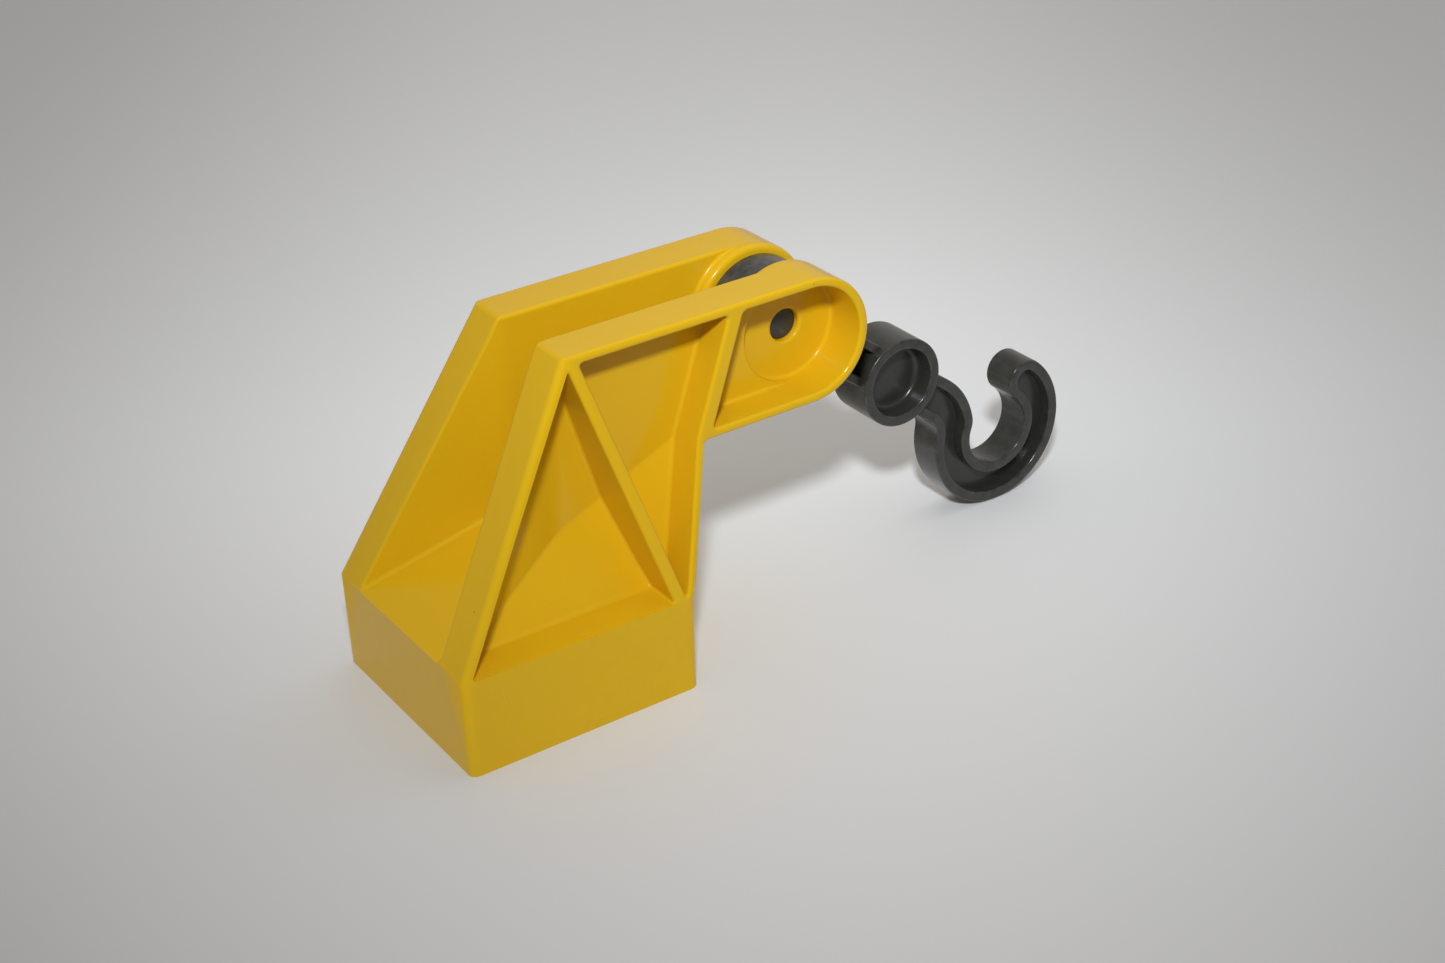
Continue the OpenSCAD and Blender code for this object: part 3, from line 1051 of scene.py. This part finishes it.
for make, body, node, slot, material in (
    (moulded_frame, "frame", "jib_frame", "yellow_plastic", YELLOW),
    (hook_arm, "arm", "hook_arm", "grey_plastic", GREY),
    (pivot_pin, "frame", "axle_pin", "grey_plastic", GREY),
):
    piece = make()
    mark_round_edges(piece.data)
    piece = smooth(piece)
    finish_piece(piece, body, node, material)
    piece.name = make.__name__ + "_piece"


# Floor, light and camera

# Half the floor's width in metres, the order of its corners, its gloss and its colours
FLOOR_HALF = 3.0
FLOOR_CORNERS = ((-1, -1), (1, -1), (1, 1), (-1, 1))
FLOOR_ROUGHNESS = 0.6
FLOOR_SPECULAR = 0.2
# Painted shade and light: the floor near the camera and to the sides is darker, and far off lighter
# and bluer against the warm room light
NEAR_FLOOR_SHADED = (0.70, 0.71, 0.73)
FAR_FLOOR_LIT = (0.94, 0.965, 0.99)
SIDE_FLOOR_SHADED = (0.58, 0.60, 0.64)
# The floor is painted darker towards the camera and towards both sides of the picture, as painted
# shade where the lamp's light falls off: the direction away from the camera and the one across it,
# and where along them the change lies
FLOOR_AWAY = (0.564, 0.826, 0.0)
FLOOR_ACROSS = (0.826, -0.564, 0.0)
FLOOR_CHANGE = (-0.058, 0.08)
FLOOR_MIDDLE = 0.014
FLOOR_SIDES = (0.02, 0.16)
SIDE_DEPTH = 0.6
# The room's light, as dim as it is away from the pale walls
ROOM_COLOUR = (1.0, 0.95, 0.885, 1.0)
ROOM_GLOW = 0.05
# Direction of each pale wall, where its glow starts, and how bright it is
PALE_WALLS = (
    ((0.85, 0.1, 0.5), 0.2, 0.64),
    ((-0.85, 0.1, 0.5), 0.0, 0.30),
    ((0.2, 0.85, 0.45), 0.0, 0.10),
)
# The lamp: where it is, the point it shines at, its colour, watts, spread in degrees and width
LAMP_PLACE = (-0.108, -0.213, 0.25)
LAMP_AIM = (0.050, 0.004, 0.047)
LAMP_COLOUR = (0.945, 0.975, 1.0)
LAMP_ENERGY = 0.0735
LAMP_SPREAD = 52.0
LAMP_SIZE = 0.03
# The camera's place in metres, its turn about X, Y and Z in degrees, and its lens in millimetres
CAMERA_PLACE = (-0.108437, -0.213323, 0.157153)
CAMERA_TURN = (61.0678, 2.1686, -34.3109)
CAMERA_LENS = 57.054
CAMERA_SENSOR = 36.0
CAMERA_NEAREST = 0.01


def table_top():
    """A pale floor with painted shade: darker towards the camera and to the sides, where the lamp's
    light falls off.
    """
    mesh = bpy.data.meshes.new("table_top")
    corners = [(x * FLOOR_HALF, y * FLOOR_HALF, 0.0) for x, y in FLOOR_CORNERS]
    mesh.from_pydata(corners, [], [(0, 1, 2, 3)])
    obj = link(mesh, "table_top")
    material = bpy.data.materials.new("pale_floor_painted_falloff")
    material.use_nodes = True
    tree = material.node_tree
    shader = tree.nodes["Principled BSDF"]
    where = tree.nodes.new("ShaderNodeTexCoord").outputs["Object"]
    # Painted shade: the colour darkens towards the camera and to the sides, where the lamp's light
    # falls off
    change = ramp(tree, facing(tree, where, FLOOR_AWAY), *FLOOR_CHANGE)
    colour = mixed(tree, NEAR_FLOOR_SHADED, FAR_FLOOR_LIT, change)
    across = math_node(tree, "SUBTRACT", facing(tree, where, FLOOR_ACROSS), FLOOR_MIDDLE)
    aside = math_node(tree, "ABSOLUTE", across)
    colour = mixed(tree, colour, SIDE_FLOOR_SHADED, ramp(tree, aside, *FLOOR_SIDES), SIDE_DEPTH)
    tree.links.new(colour, shader.inputs["Base Color"])
    shader.inputs["Roughness"].default_value = FLOOR_ROUGHNESS
    shader.inputs["Specular IOR Level"].default_value = FLOOR_SPECULAR
    mesh.materials.append(material)


def room_light():
    """A dim room with a pale wall on three sides."""
    world = bpy.data.worlds.new("room")
    world.use_nodes = True
    tree = world.node_tree
    where = tree.nodes.new("ShaderNodeTexCoord").outputs["Generated"]
    total = None
    for direction, start, strength in PALE_WALLS:
        toward = facing(tree, where, Vector(direction).normalized())
        wall = math_node(tree, "MULTIPLY", ramp(tree, toward, start, 1.0), strength)
        total = wall if total is None else math_node(tree, "ADD", total, wall)
    background = tree.nodes["Background"]
    background.inputs["Color"].default_value = ROOM_COLOUR
    tree.links.new(math_node(tree, "ADD", total, ROOM_GLOW), background.inputs["Strength"])
    scene.world = world


def lamp():
    """One small soft lamp above the camera."""
    light = bpy.data.lights.new("lamp", "AREA")
    light.shape = "DISK"
    light.size = LAMP_SIZE
    light.color = LAMP_COLOUR
    light.energy = LAMP_ENERGY
    light.spread = math.radians(LAMP_SPREAD)
    obj = link(light, "lamp")
    obj.location = LAMP_PLACE
    back = Vector(LAMP_PLACE) - Vector(LAMP_AIM)
    obj.rotation_euler = back.to_track_quat("Z", "Y").to_euler()


def photo_camera():
    """The camera at the photograph's place, for a frame of 1445 by 963."""
    camera = bpy.data.cameras.new("camera")
    camera.sensor_width = CAMERA_SENSOR
    camera.lens = CAMERA_LENS
    camera.clip_start = CAMERA_NEAREST
    obj = link(camera, "camera")
    obj.location = CAMERA_PLACE
    obj.rotation_euler = [math.radians(a) for a in CAMERA_TURN]
    scene.camera = obj


table_top()
room_light()
lamp()
photo_camera()
scene.view_settings.view_transform = "Standard"
